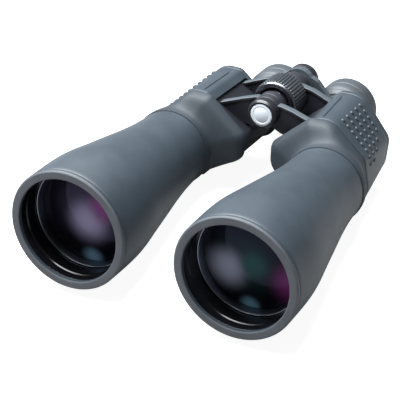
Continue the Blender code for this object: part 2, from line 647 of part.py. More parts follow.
def ocular(name, side, carrier, looks):
    """Lens barrel that slides in the guide, its two lenses and the rubber eyecup."""
    center = (side * EYEPIECE_X, EYEPIECE_Z)
    at = (side * EYEPIECE_X, HEAD_Y[0], EYEPIECE_Z)
    bore = 11.0 * MM
    waist = HEAD_RADIUS - 1.5 * MM if name == "right" else HEAD_RADIUS
    start, end = HEAD_Y
    seat_start, seat_end = DIOPTER_Y[0] - GAP, DIOPTER_Y[1] + GAP
    head = [(HEAD_RADIUS, start), (HEAD_RADIUS, seat_start), (waist, seat_start), (waist, end)]
    if name == "left":
        head = [(HEAD_RADIUS, start), (HEAD_RADIUS, seat_end), (16 * MM, seat_end), (16 * MM, end)]
    barrel = [(bore, OCULAR_START_Y), (OCULAR_RADIUS, OCULAR_START_Y), (OCULAR_RADIUS, start), *head,
              (bore + 1.2 * MM, end), (bore, 247 * MM)]
    finish(f"{name}_ocular_barrel", turned(barrel, center, MEDIUM), carrier,
           looks["black_metal"], at)

    start, end = EYECUP_Y
    skirt = 16 * MM + 0.2 * MM
    cup = [(skirt, start), (18.4 * MM, start), (21.8 * MM, start + 4.2 * MM),
           (EYECUP_RADIUS, start + 6 * MM), (EYECUP_RADIUS, end - 1 * MM),
           (EYECUP_RADIUS - 0.8 * MM, end), (EYECUP_RADIUS - 2.6 * MM, end),
           (17.0 * MM, 256 * MM), (12.2 * MM, 252.6 * MM), (12.2 * MM, 250.4 * MM),
           (skirt, 250.4 * MM)]
    finish(f"{name}_eyecup", turned(cup, center, FINE), carrier, looks["armour"], at)

    small = bore - 0.15 * MM
    eye_lens = lens(243.2 * MM, 1.2 * MM, 245.6 * MM, 1.2 * MM, small, 2)
    field_lens = lens(224 * MM, 0.8 * MM, 226.4 * MM, 1.4 * MM, small, 2)
    for part, profile in (("eye_lens", eye_lens), ("field_lens", field_lens)):
        bm = turned(profile, center, COARSE, closed=False)
        finish(f"{name}_{part}", bm, carrier, looks["clear_glass"], at)


def diopter_ring(carrier, look):
    center = (-EYEPIECE_X, EYEPIECE_Z)
    start, end = DIOPTER_Y
    pivot = empty("pivot_diopter_ring", (center[0], start, center[1]), carrier)
    bore, outer = HEAD_RADIUS - 1.5 * MM + 0.2 * MM, 19.0 * MM
    finish("diopter_ring", tube(outer, bore, (start, end), center, FINE), pivot, look)


# ---- assembly -----------------------------------------------------------------
def set_down(stand):
    """Tip the level frame onto its resting points and centre it over the origin."""
    tilt = math.atan2(BELL_RADIUS - HOUSING_DEPTH, SEAM_Y - BELL_Y)
    stand.rotation_euler = (-tilt, 0, 0)
    bpy.context.view_layer.update()
    low = Vector((math.inf,) * 3)
    high = -low
    for item in bpy.data.objects:
        if item.type != "MESH" or item.hide_render:
            continue
        for corner in item.data.vertices:
            place = item.matrix_world @ corner.co
            low = Vector(map(min, low, place))
            high = Vector(map(max, high, place))
    stand.location = (-(low.x + high.x) / 2, -(low.y + high.y) / 2, -low.z)


def build():
    clear_scene()
    looks = all_materials()
    stand = empty("stand", (0, 0, 0))
    axis_point = (0, FRONT_HUB_Y["left"][0], HINGE_Z)
    bridge_point = (0, BRIDGE_Y[0], HINGE_Z)
    lap = (BRIDGE_Y[0] + BRIDGE_Y[1]) / 2
    bridge_hub_y = {"left": (BRIDGE_Y[0], lap - GAP / 2), "right": (lap + GAP / 2, BRIDGE_Y[1])}
    for name, side in SIDES.items():
        half = empty(f"pivot_{name}_half", axis_point, stand)
        objective_pieces(name, side, half, looks)
        front_cover(name, side, half, looks["armour"])
        housing_shell(name, side, half, looks["painted_metal"])
        housing_armour(name, side, half, looks["armour"])
        rear_cover(name, side, half, looks["armour"])
        strap_lug(name, side, half, looks["painted_metal"])
        for which in ("front", "rear"):
            prism(name, side, which, half, looks)
        prism_clip(name, side, half, looks["bright_metal"])
        prism_shelf(name, side, half, looks["black_metal"])
        hinge_arms(name, side, half, looks["painted_metal"])
        eyepiece_guide(name, side, half, looks["black_metal"])
        bridge = empty(f"pivot_{name}_bridge", bridge_point, half)
        bridge_arm(name, side, bridge, bridge_hub_y[name], looks["painted_metal"])
        carrier = bridge
        if name == "right":
            carrier = empty("pivot_right_ocular", (-EYEPIECE_X, HEAD_Y[0], EYEPIECE_Z), bridge)
            diopter_ring(carrier, looks["wheel_rubber"])
        else:
            hinge_core(half, looks)
            tripod_cap(half, looks)
            focus_wheel(half, looks)
            focus_core(bridge, looks)
        ocular(name, side, carrier, looks)
    set_down(stand)


build()
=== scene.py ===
"""Looks for the astronomy binoculars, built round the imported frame.

New pieces are drawn in the level frame, in millimetres: X runs across the pair
(+X is the user's left), Y from the objectives back to the eyepieces, Z is up, with
the objective axes at Z = 0 and the front of the rims at Y = 0. LEVEL carries them
into the row frame, where the pair rests tipped forward on the floor.
"""
import json
import math
import bmesh
import bpy
from mathutils import Matrix, Vector


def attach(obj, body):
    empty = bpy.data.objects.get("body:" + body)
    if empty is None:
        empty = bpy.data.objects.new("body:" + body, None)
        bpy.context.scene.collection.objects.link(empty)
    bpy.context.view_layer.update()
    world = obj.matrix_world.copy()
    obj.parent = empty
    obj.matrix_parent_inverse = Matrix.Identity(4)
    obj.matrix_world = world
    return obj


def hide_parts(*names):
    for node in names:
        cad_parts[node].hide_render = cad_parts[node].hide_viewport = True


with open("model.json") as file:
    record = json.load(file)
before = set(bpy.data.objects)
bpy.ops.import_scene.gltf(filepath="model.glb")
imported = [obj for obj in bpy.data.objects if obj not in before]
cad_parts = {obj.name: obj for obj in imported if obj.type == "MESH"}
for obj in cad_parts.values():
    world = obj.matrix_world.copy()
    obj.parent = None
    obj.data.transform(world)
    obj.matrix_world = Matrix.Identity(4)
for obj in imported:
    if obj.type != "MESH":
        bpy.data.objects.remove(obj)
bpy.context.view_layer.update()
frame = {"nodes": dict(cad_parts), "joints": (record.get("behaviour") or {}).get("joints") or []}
MM = 0.001
SIDES = {"left": 1, "right": -1}
HINGE_POINT = Vector((0, 171.3, 31.0))      # level place of the ipd_hinge joint


def level_matrix():
    """From level millimetres to row metres, read from the hinge joint."""
    hinge = next(joint for joint in frame["joints"] if joint["name"] == "ipd_hinge")
    axis = Vector(hinge["axis"])
    turn = Matrix.Rotation(math.atan2(axis.z, axis.y), 4, "X") @ Matrix.Scale(MM, 4)
    return Matrix.Translation(Vector(hinge["pos_m"]) - turn @ HINGE_POINT) @ turn


LEVEL = level_matrix()


def level_box(node):
    """Lowest and highest corner of a CAD node in level millimetres."""
    back = LEVEL.inverted()
    spots = [back @ vertex.co for vertex in frame["nodes"][node].data.vertices]
    low = Vector([min(spot[axis] for spot in spots) for axis in range(3)])
    high = Vector([max(spot[axis] for spot in spots) for axis in range(3)])
    return low, high


def middle_of(node):
    low, high = level_box(node)
    return (low + high) / 2


def span_of(node):
    """Where a node starts and ends along Y."""
    low, high = level_box(node)
    return low.y, high.y


# ---- sizes read from the frame, in level millimetres ----------------------------
OBJECTIVE_X = middle_of("left_objective_rim").x
EYE = middle_of("left_eyecup")
HINGE = (0.0, HINGE_POINT.z)
RIM_RADIUS = (level_box("left_objective_rim")[1].x - level_box("left_objective_rim")[0].x) / 2
RIM_LENGTH = span_of("left_objective_rim")[1]
BARREL_Y = (span_of("left_barrel")[0], 141.8)
COVER_Y = span_of("left_front_cover")
ARMOUR_Y = span_of("left_housing_armour")
REAR_Y = span_of("left_rear_cover")
CELL_END = span_of("left_lens_cell")[1]
CUP_Y = span_of("left_eyecup")
FINE = 144                                   # sides of a large turned piece
SMALL = 72                                   # sides of a small one
SHARP_CUT = 32                               # degrees at which an edge of a cut piece is sharp
GLASS_RADIUS = 35.8                          # the objective's crown
CELL_RADIUS = 39.2                           # outside of the lens cell, inside the barrel
HUB_RADIUS = 11.0
HUB_BORE = 6.6                               # round the hinge tube
SLEEVE_BORE = 9.2                            # counterbore of the rear hub for the focus sleeve
SLEEVE_SEAT = 218                            # where that counterbore starts
WHEEL_RIBS = 44
WHEEL_RADIUS = 16.9
WHEEL_BORE = 13.5
OCULAR_BORE = 12.2                           # throat between the eye lens and the eyecup's funnel
OCULAR_COLLAR = 17.5                         # collar of the eyepiece tube, before the eyecup


# ---- mesh tools -------------------------------------------------------------------
def piece(name, bm, body, nodes, look, sharp=38):
    """Make an object of bm, drawn in level millimetres, that rides on a body."""
    bmesh.ops.recalc_face_normals(bm, faces=bm.faces)
    bm.transform(LEVEL)
    mesh = bpy.data.meshes.new(name)
    bm.to_mesh(mesh)
    bm.free()
    mesh.shade_smooth()
    mesh.set_sharp_from_angle(angle=math.radians(sharp))
    made = bpy.data.objects.new(name, mesh)
    bpy.context.scene.collection.objects.link(made)
    mesh.materials.append(look)
    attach(made, body)
    if nodes:
        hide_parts(*nodes)
    return made


def rounded(corners, closed=True, steps=4):
    """Turn corners (a, b, fillet) into points, with an arc in place of each corner."""
    points = []
    last = len(corners) - 1
    for index, (a, b, fillet) in enumerate(corners):
        corner = Vector((a, b))
        if not fillet or (not closed and index in (0, last)):
            points.append(corner)
            continue
        before = Vector(corners[index - 1][:2]) - corner
        after = Vector(corners[(index + 1) % len(corners)][:2]) - corner
        half = before.angle(after) / 2
        cut = min(fillet / math.tan(half), 0.48 * before.length, 0.48 * after.length)
        inward = (before.normalized() + after.normalized()).normalized()
        middle = corner + inward * cut / math.cos(half)
        start = corner + before.normalized() * cut - middle
        end = corner + after.normalized() * cut - middle
        radius = start.length
        for step in range(steps + 1):
            points.append(middle + start.lerp(end, step / steps).normalized() * radius)
    return points


def smooth_curve(points, steps):
    """Catmull-Rom curve through points, with the ends held."""
    points = [Vector(point) for point in points]
    held = [points[0], *points, points[-1]]
    curve = []
    for p0, p1, p2, p3 in zip(held, held[1:], held[2:], held[3:]):
        for step in range(steps):
            t = step / steps
            curve.append(0.5 * (2 * p1 + (p2 - p0) * t + (2 * p0 - 5 * p1 + 4 * p2 - p3) * t * t
                                + (3 * p1 - p0 - 3 * p2 + p3) * t ** 3))
    return curve + [points[-1]]


def turned(profile, center, sides, closed=True):
    """Spin points (radius, y) about the line parallel to Y through center (x, z)."""
    bm = bmesh.new()
    columns = []
    poles = {}
    for side in range(sides):
        angle = math.tau * side / sides
        column = []
        for index, (radius, y) in enumerate(profile):
            if radius < 1e-6:
                if index not in poles:
                    poles[index] = bm.verts.new((center[0], y, center[1]))
                column.append(poles[index])
            else:
                column.append(bm.verts.new((center[0] + radius * math.cos(angle), y,
                                            center[1] + radius * math.sin(angle))))
        columns.append(column)
    count = len(profile)
    pairs = [(i, i + 1) for i in range(count - 1)] + ([(count - 1, 0)] if closed else [])
    for side in range(sides):
        here = columns[side]
        there = columns[(side + 1) % sides]
        for a, b in pairs:
            corners = list(dict.fromkeys((here[a], here[b], there[b], there[a])))
            if len(corners) > 2:
                bm.faces.new(corners)
    return bm


def skin(rings, ends=True):
    """Join rings of points into a skin, closed by end faces or back to its start."""
    bm = bmesh.new()
    loops = [[bm.verts.new(point) for point in ring] for ring in rings]
    count = len(loops[0])
    pairs = list(zip(loops, loops[1:]))
    if not ends:
        pairs.append((loops[-1], loops[0]))
    for first, second in pairs:
        for index in range(count):
            after = (index + 1) % count
            bm.faces.new((first[index], first[after], second[after], second[index]))
    if ends:
        bm.faces.new(loops[0])
        bm.faces.new(loops[-1])
    return bm


def cut(made, tools):
    """Apply Booleans, each (bm in level millimetres, operation), and drop the tools."""
    for index, (bm, operation) in enumerate(tools):
        bmesh.ops.recalc_face_normals(bm, faces=bm.faces)
        bm.transform(LEVEL)
        mesh = bpy.data.meshes.new("tool")
        bm.to_mesh(mesh)
        bm.free()
        tool = bpy.data.objects.new(f"tool_{index}", mesh)
        bpy.context.scene.collection.objects.link(tool)
        step = made.modifiers.new(f"step_{index}", "BOOLEAN")
        step.operation = operation
        step.object = tool
        step.solver = "EXACT"
        bpy.context.view_layer.update()
        evaluated = made.evaluated_get(bpy.context.evaluated_depsgraph_get())
        shaped = bpy.data.meshes.new_from_object(evaluated)
        made.modifiers.clear()
        made.data = shaped
        bpy.data.objects.remove(tool)
    made.data.shade_smooth()
    made.data.set_sharp_from_angle(angle=math.radians(SHARP_CUT))


def paint(made, look, wanted):
    """Give the faces that pass wanted(place, normal), both in the level frame, another look."""
    back = LEVEL.inverted()
    turn = back.to_3x3().normalized()
    made.data.materials.append(look)
    for face in made.data.polygons:
        if wanted(back @ face.center, turn @ face.normal):
            face.material_index = len(made.data.materials) - 1


def soften(made, width):
    """Round off the edges of a piece with a bevel of this width, in millimetres."""
    bevel = made.modifiers.new("edges", "BEVEL")
    bevel.width = width * MM
    bevel.segments = 3
    bevel.limit_method = "ANGLE"
    bevel.angle_limit = math.radians(SHARP_CUT)
    bevel.harden_normals = True


# ---- the housing's outline --------------------------------------------------------
# Corners (x, z, rounding radius) of the left covers' outline at the front seam and the rear.
SEAM_CORNERS = [(38.4, 38.9, 7), (54.5, 39.8, 15), (79.8, 16.5, 12), (85, -8, 18), (74, -31, 14),
                (57, -31, 10), (40, -17.5, 16), (10.2, -5.8, 12), (10.2, 13.7, 9)]
REAR_CORNERS = [(40.5, 39.3, 7), (56, 39.8, 16), (79.2, 10.5, 12), (77.5, -10, 16), (66, -30, 13),
                (54, -30, 10), (38, -17.5, 16), (10, -7, 12), (10, 14, 9)]
SET_BACK = {0: (4.5, 0), 8: (0, -4)}         # shifts of the housing's corners behind the seam
ARC = 10                                     # steps of each rounded corner
CUTS = (4, 6, 3, 3, 2, 3, 4, 3, 4)           # steps of each straight stretch
ARMOUR_POINTS = sum(CUTS[:5]) + 5 * ARC + 2  # points of the outline under the sleeve
ARMOUR_LEAD = 5.0                            # how far the sleeve laps down the inner wall


def corners_at(y, set_back):
    """The outline's corners at y, between the front seam and the rear."""
    share = (y - COVER_Y[1]) / (REAR_Y[1] - COVER_Y[1])
    corners = []
    for index, (front, rear) in enumerate(zip(SEAM_CORNERS, REAR_CORNERS)):
        x, z, radius = (a + (b - a) * share for a, b in zip(front, rear))
        back, down = SET_BACK.get(index, (0, 0)) if set_back else (0, 0)
        corners.append((x + back * (1 - share), z + down * (1 - share), radius))
    return corners


def section(y, depth=0.0, set_back=False):
    """Outline of the left covers at y, or of the housing, which stands back a little."""
    corners = corners_at(y, set_back)
    count = len(corners)
    arcs = []
    for index, (x, z, radius) in enumerate(corners):
        corner = Vector((x, z))
        before = (Vector(corners[index - 1][:2]) - corner).normalized()
        after = (Vector(corners[(index + 1) % count][:2]) - corner).normalized()
        half = before.angle(after) / 2
        middle = corner + (before + after).normalized() * radius / math.sin(half)
        start = corner + before * radius / math.tan(half) - middle
        sweep = -(math.pi - 2 * half)
        arcs.append([middle + Matrix.Rotation(sweep * step / ARC, 2) @ start
                     for step in range(ARC + 1)])
    outline = []
    for arc, following, cuts in zip(arcs, arcs[1:] + arcs[:1], CUTS):
        outline += arc[:-1]
        outline += [arc[-1].lerp(following[0], step / cuts) for step in range(cuts)]
    return inset(outline, depth) if depth else outline


def inset(outline, depth):
    """Outline moved inwards by depth, or outwards by a negative one."""
    moved = []
    for index, point in enumerate(outline):
        along = outline[(index + 1) % len(outline)] - outline[index - 1]
        moved.append(point + Vector((along.y, -along.x)).normalized() * depth)
    return moved


def ring_at(side, outline, y):
    return [(side * point.x, y, point.y) for point in outline]


# ---- materials --------------------------------------------------------------------
BLOTCH_SCALE = 60.0                          # soft changes of colour, per metre
ROUGHNESS_SPREAD = 0.06


def surface(name, color, roughness, metallic=0.0, grain=1500.0, bump=0.12, spread=0.12,
            specular=0.5):
    """A shader whose colour and roughness vary softly, over a fine moulded grain."""
    look = bpy.data.materials.new(name)
    look.use_nodes = True
    nodes, links = look.node_tree.nodes, look.node_tree.links
    shader = nodes["Principled BSDF"]
    shader.inputs["Metallic"].default_value = metallic
    shader.inputs["Specular IOR Level"].default_value = specular
    place = nodes.new("ShaderNodeTexCoord")

    blotch = nodes.new("ShaderNodeTexNoise")
    blotch.inputs["Scale"].default_value = BLOTCH_SCALE
    blotch.inputs["Detail"].default_value = 3.0
    links.new(place.outputs["Object"], blotch.inputs["Vector"])
    shades = nodes.new("ShaderNodeValToRGB")
    shades.color_ramp.elements[0].position = 0.3
    shades.color_ramp.elements[0].color = (*[c * (1 - spread) for c in color], 1)
    shades.color_ramp.elements[1].position = 0.7
    shades.color_ramp.elements[1].color = (*[c * (1 + spread) for c in color], 1)
    links.new(blotch.outputs["Fac"], shades.inputs["Fac"])
    links.new(shades.outputs["Color"], shader.inputs["Base Color"])

    pores = nodes.new("ShaderNodeTexNoise")
    pores.inputs["Scale"].default_value = grain
    pores.inputs["Detail"].default_value = 2.0
    links.new(place.outputs["Object"], pores.inputs["Vector"])
    rough = nodes.new("ShaderNodeMapRange")
    rough.inputs["To Min"].default_value = max(0.0, roughness - ROUGHNESS_SPREAD)
    rough.inputs["To Max"].default_value = roughness + ROUGHNESS_SPREAD
    links.new(pores.outputs["Fac"], rough.inputs["Value"])
    links.new(rough.outputs["Result"], shader.inputs["Roughness"])
    if bump:
        relief = nodes.new("ShaderNodeBump")
        relief.inputs["Strength"].default_value = bump
        relief.inputs["Distance"].default_value = 0.1 * MM
        links.new(pores.outputs["Fac"], relief.inputs["Height"])
        links.new(relief.outputs["Normal"], shader.inputs["Normal"])
    return look


def glass_with_painted_reflections(name, center, radius, spots, base):
    """Dark glass with painted reflections: soft tinted zones placed round the lens's own centre
    stand in for coloured coating reflections and highlights.

    spots are (x, z, reach, color), in shares of the lens radius.
    """
    look = surface(name, base, 0.04, bump=0.0, spread=0.2, specular=0.12)
    nodes, links = look.node_tree.nodes, look.node_tree.links
    shader = nodes["Principled BSDF"]
    shader.inputs["Specular Tint"].default_value = (0.55, 0.5, 1.0, 1.0)
    place = nodes["Texture Coordinate"]
    mixed = shader.inputs["Base Color"].links[0].from_socket
    # each zone paints a reflection or highlight into the base colour
    for x, z, reach, color in spots:
        spot = LEVEL @ Vector((center[0] + x * radius, center[1], center[2] + z * radius))
        away = nodes.new("ShaderNodeVectorMath")
        away.operation = "DISTANCE"
        away.inputs[1].default_value = spot
        links.new(place.outputs["Object"], away.inputs[0])
        fade = nodes.new("ShaderNodeMapRange")
        fade.interpolation_type = "SMOOTHERSTEP"
        fade.inputs["From Min"].default_value = 0.0
        fade.inputs["From Max"].default_value = reach * radius * MM
        fade.inputs["To Min"].default_value = 1.0
        fade.inputs["To Max"].default_value = 0.0
        links.new(away.outputs["Value"], fade.inputs["Value"])
        tint = nodes.new("ShaderNodeMix")
        tint.data_type = "RGBA"
        tint.inputs["B"].default_value = (*color, 1)
        links.new(fade.outputs["Result"], tint.inputs["Factor"])
        links.new(mixed, tint.inputs["A"])
        mixed = tint.outputs["Result"]
    links.new(mixed, shader.inputs["Base Color"])
    return look


LOOKS = {
    "armour": surface("soft_touch_rubber", (0.025, 0.035, 0.045), 0.5, bump=0.2, specular=0.5),
    # front covers: a rougher rubber, made darker than the armour as painted shade over the concave
    # shoulder
    "cover": surface("cover_rubber_painted_shade", (0.019, 0.026, 0.034), 0.62, bump=0.2, specular=0.4),
    "ring": surface("dark_satin_ring", (0.22, 0.24, 0.28), 0.3, 1.0, bump=0.03),
    # lighter copy of the rubber for the rim's forward face: painted light
    "rim_rubber": surface("rim_rubber", (0.075, 0.082, 0.095), 0.55, bump=0.2, specular=0.4),
    "painted": surface("grey_painted_metal", (0.05, 0.062, 0.072), 0.45, bump=0.3, grain=900),
    "web": surface("dark_painted_metal", (0.014, 0.015, 0.021), 0.5, bump=0.25, grain=900),
    "black": surface("black_anodised_metal", (0.003, 0.003, 0.004), 0.22, bump=0.05, specular=0.4),
    "bright": surface("bright_chrome", (0.20, 0.21, 0.24), 0.3, 1.0, bump=0.03),
    "brass": surface("turned_brass", (0.6, 0.42, 0.16), 0.3, 1.0, bump=0.05),
    "knob": surface("black_moulded_plastic", (0.014, 0.015, 0.018), 0.35, bump=0.12),
    "plum": surface("dark_wheel_core", (0.022, 0.017, 0.026), 0.3, bump=0.08),
    "wheel": surface("ribbed_wheel_rubber", (0.024, 0.029, 0.034), 0.42, bump=0.15),
    "badge": surface("pale_disc", (0.66, 0.71, 0.75), 0.3, bump=0.05, spread=0.03),
    "cup": surface("eyecup_rubber", (0.038, 0.045, 0.052), 0.55, bump=0.2),
    "clear": surface("bare_glass", (0.5, 0.56, 0.56), 0.03, bump=0.0, spread=0.04),
}


# ---- objective end ----------------------------------------------------------------
def objective_rim(name, center, half):
    inner = RIM_RADIUS - 5.85
    corners = [(inner, 0.5, 0.3), (inner + 0.7, 0, 0.5), (RIM_RADIUS - 1.0, 0, 0.6),
               (RIM_RADIUS, 1.0, 0.7), (RIM_RADIUS, RIM_LENGTH, 0.35), (inner, RIM_LENGTH, 0)]
    bm = turned(rounded(corners), center, FINE)
    rim = piece(f"{name}_objective_rim_shaped", bm, half, [f"{name}_objective_rim"],
                LOOKS["rim_rubber"])
    # Painted light: the lighter rubber stays only on faces turned forward; the rim's other faces
    # take the barrel's darker armour.
    paint(rim, LOOKS["armour"], lambda place, normal: normal.y > -0.35)


def barrel(name, center, half):
    """Long tapering tube, with a fine lip behind the rim."""
    start, end = BARREL_Y
    outer = smooth_curve([(RIM_RADIUS + 0.05, start + 0.6), (RIM_RADIUS + 0.1, 26), (41.2, 41),
                          (38.1, 61), (34.95, 81.5), (31.8, 102), (29.6, 121), (28.3, end)], 6)
    seat = CELL_RADIUS + 0.3
    mouth = [Vector(spot) for spot in ((seat, start), (RIM_RADIUS - 0.35, start),
                                       (RIM_RADIUS - 0.1, start + 0.2))]
    bore = [Vector(spot) for spot in ((25, end), (25, 149), (23.4, 149), (27, 121),
                                      (38.2, CELL_END + 0.3), (seat, CELL_END + 0.3))]
    bm = turned(mouth + outer + bore, center, FINE)
    piece(f"{name}_barrel_shaped", bm, half, [f"{name}_barrel"], LOOKS["armour"])


def lens_cell(name, center, half):
    """Black cell with stepped baffle rings in front of the glass."""
    start = RIM_LENGTH + 0.3
    steps = [(36.4, start, 0.3), (36.4, 9.0, 0.8), (35.7, 10.0, 0.8), (35.7, 18.6, 0.6),
             (36.2, 19.2, 0.4), (36.2, 20.4, 0)]
    back = [(36.2, CELL_END - 2, 0), (31.8, CELL_END - 2, 0), (31.8, CELL_END, 0),
            (CELL_RADIUS, CELL_END, 0), (CELL_RADIUS, start, 0.3)]
    bm = turned(rounded(steps + back, steps=3), center, FINE)
    piece(f"{name}_lens_cell_shaped", bm, half, [f"{name}_lens_cell"],
          LOOKS["black"])


def retaining_ring(name, center, half):
    low, high = span_of("left_retaining_ring")
    corners = [(34.2, high - 1.3, 0.3), (35.2, low + 0.2, 0.3), (35.9, low, 0.2), (35.9, high, 0),
               (34.2, high, 0)]
    bm = turned(rounded(corners, steps=3), center, FINE)
    piece(f"{name}_retaining_ring_shaped", bm, half, [f"{name}_retaining_ring"],
          LOOKS["ring"])


def objective_lens(name, center, half, look):
    """Front element of the doublet; its front surface is a shallow dome."""
    low, high = span_of("left_objective_crown")
    front_bulge, back_bulge, steps = 3.0, 3.6, 16
    shares = [step / steps for step in range(steps + 1)]
    front = [Vector((GLASS_RADIUS * step / steps, low + front_bulge * share ** 2))
             for step, share in enumerate(shares)]
    back = [Vector((GLASS_RADIUS * step / steps, high - back_bulge * share ** 2))
            for step, share in enumerate(shares)][::-1]
    bm = turned(front + back, center, FINE, closed=False)
    piece(f"{name}_objective_crown_shaped", bm, half, [f"{name}_objective_crown"],
          look, sharp=50)


# ---- prism housing ----------------------------------------------------------------
# The shoulder's line, as shares of the way out and of the way back.
RISE = ((0.0, 0.0), (0.02, 0.16), (0.09, 0.27), (0.25, 0.37), (0.45, 0.46), (0.66, 0.55),
        (0.83, 0.65), (0.95, 0.8), (0.995, 0.95))


def front_cover(name, side, half):
    """Shoulder from the barrel's round collar out to the housing's outline."""
    front, seam = COVER_Y
    outline = section(seam)
    axis = Vector((OBJECTIVE_X, 0))
    collar, bore, inset_depth = 29.0, 26.2, 4.3

    def between(y, share, radius, edge):
        ring = [(axis + (point - axis).normalized() * radius).lerp(outer, share)
                for point, outer in zip(outline, edge)]
        return ring_at(side, ring, y)

    depth = seam - front
    rings = [between(front, 0, collar - 0.4, outline)]
    rings += [between(front + 0.3 + (depth - 0.3) * back, out, collar, outline)
              for out, back in smooth_curve(RISE, 4)]
    rings.append(between(seam, 1, collar, section(seam, 0.5)))
    inner = section(seam, inset_depth)
    rings += [between(seam, 1, bore, inner), between(seam - 3, 1, bore, inner),
              between(149.5, 0, bore, inner), between(front, 0, bore, inner)]
    piece(f"{name}_front_cover_shaped", skin(rings, ends=False), half, [f"{name}_front_cover"],
          LOOKS["cover"])


def prism_housing(name, side, half):
    start, end = span_of("left_prism_housing")
    outer, inner = 2.1, 4.3
    levels = [(start, outer + 0.3), (start + 0.3, outer), (end, outer), (end, inner),
              (start, inner)]
    rings = [ring_at(side, section(y, depth, True), y) for y, depth in levels]
    piece(f"{name}_prism_housing_shaped", skin(rings, ends=False), half,
          [f"{name}_prism_housing"], LOOKS["web"])


GROOVE_AFTER_ARC = 1.2                       # middle of the groove, from the inner edge's rounding
GROOVE_HALF_WIDTH = 1.0
GROOVE_DEPTH = 0.8


def led(outline):
    """The sleeve's inner edge, a little way down the inner wall."""
    return outline[0] + (outline[-1] - outline[0]).normalized() * ARMOUR_LEAD


def armour_outline(y, lift):
    """Outer line of the sleeve: the top face carries a groove beside its inner edge."""
    outline = section(y, -lift, True)
    top = outline[ARC]
    along = (outline[ARC + CUTS[0]] - top).normalized()
    down = Vector((along.y, -along.x))
    line = [led(outline)] + outline[:ARC]
    share = min(1.0, max(0.0, min(y - ARMOUR_Y[0] - 3, ARMOUR_Y[1] - 5 - y) / 3))
    for step in range(-4, 5):
        out = GROOVE_AFTER_ARC + GROOVE_HALF_WIDTH * step / 4
        dip = GROOVE_DEPTH * share * math.cos(math.pi * step / 8) ** 0.5 if abs(step) < 4 else 0
        line.append(top + along * out + down * dip)
    return line + outline[ARC + CUTS[0]:ARMOUR_POINTS]


def housing_armour(name, side, half):
    """Rubber sleeve round the top, outer and under sides, with softly rounded ends."""
    start, end = ARMOUR_Y
    thick, ends, slices = 1.5, 0.45, 16
    levels = [(start, -ends), (start + 0.15, -0.15), (start + ends, 0.0)]
    levels += [(start + 3 + step * (end - start - 6) / slices, 0.0) for step in range(slices + 1)]
    levels += [(end - ends, 0.0), (end - 0.15, -0.15), (end, -ends)]
    rings = []
    for y, lift in levels:
        outer = armour_outline(y, lift)
        under = section(y, thick, True)
        inner = [led(under)] + under[:ARMOUR_POINTS]
        rings.append(ring_at(side, outer + inner[::-1], y))
    piece(f"{name}_housing_armour_shaped", skin(rings), half, [f"{name}_housing_armour"],
          LOOKS["armour"])


STUD_ROWS = (5, 5, 5, 5, 5, 4, 3, 2)         # studs in each row down the sloping face
STUD_START = (4.3, 174.0)                    # from the middle of the top edge's rounding, and Y
STUD_PITCH = (5.25, 7.8)
STUD_RADIUS = 1.7


def walk(outline, start, distance):
    """Point and outward normal at a distance along an outline from its point `start`."""
    here, there = outline[start], outline[start + 1]
    while (there - here).length < distance:
        distance -= (there - here).length
        start += 1
        here, there = outline[start], outline[start + 1]
    along = (there - here).normalized()
    return here + along * distance, Vector((-along.y, along.x))


def grip_studs(name, side, half):
    """Rows of low round studs on the outer sloping face."""
    bm = bmesh.new()
    slope = ARC + CUTS[0] + ARC // 2         # the outline's point amid the top edge's rounding
    for row, count in enumerate(STUD_ROWS):
        for column in range(count):
            y = STUD_START[1] + STUD_PITCH[1] * column
            spot, out = walk(section(y, 0.0, True), slope, STUD_START[0] + STUD_PITCH[0] * row)
            stud(bm, Vector((side * spot.x, y, spot.y)), Vector((side * out.x, 0, out.y)))
    piece(f"{name}_grip_studs", bm, half, [], LOOKS["armour"], sharp=60)


def stud(bm, base, out):
    """A rounded button whose foot is sunk a little below the surface."""
    turn = out.to_track_quat("Z", "Y").to_matrix()
    height, sunk, rings, sides = 1.15, 0.3, 5, 16
    loops = []
    for ring in range(rings):
        angle = 0.5 * math.pi * ring / rings
        radius = STUD_RADIUS * math.cos(angle)
        level = height * math.sin(angle) - (sunk if ring == 0 else 0)
        loops.append([base + turn @ Vector((radius * math.cos(math.tau * s / sides),
                                            radius * math.sin(math.tau * s / sides), level))
                      for s in range(sides)])
    made = [[bm.verts.new(point) for point in loop] for loop in loops]
    for first, second in zip(made, made[1:]):
        for s in range(sides):
            bm.faces.new((first[s], first[(s + 1) % sides], second[(s + 1) % sides], second[s]))
    crown = bm.verts.new(base + out * height)
    for s in range(sides):
        bm.faces.new((made[-1][s], made[-1][(s + 1) % sides], crown))
    bm.faces.new(made[0][::-1])


def rear_cover(name, side, half):
    start, end = REAR_Y
    lip, radius, hole_radius = 0.4, 1.8, 15.3
    rings = [ring_at(side, section(start, lip), start),
             ring_at(side, section(start + lip), start + lip)]
    for step in range(6):
        angle = 0.5 * math.pi * step / 5
        y = end - radius + radius * math.sin(angle)
        rings.append(ring_at(side, section(y, radius - radius * math.cos(angle)), y))
    cover = piece(f"{name}_rear_cover_shaped", skin(rings), half, [f"{name}_rear_cover"],
                  LOOKS["armour"])
    hole = turned([(0, start - 5), (hole_radius, start - 5), (hole_radius, end + 5), (0, end + 5)],
                  (side * EYE.x, EYE.z), SMALL, closed=False)
    cut(cover, [(hole, "DIFFERENCE")])


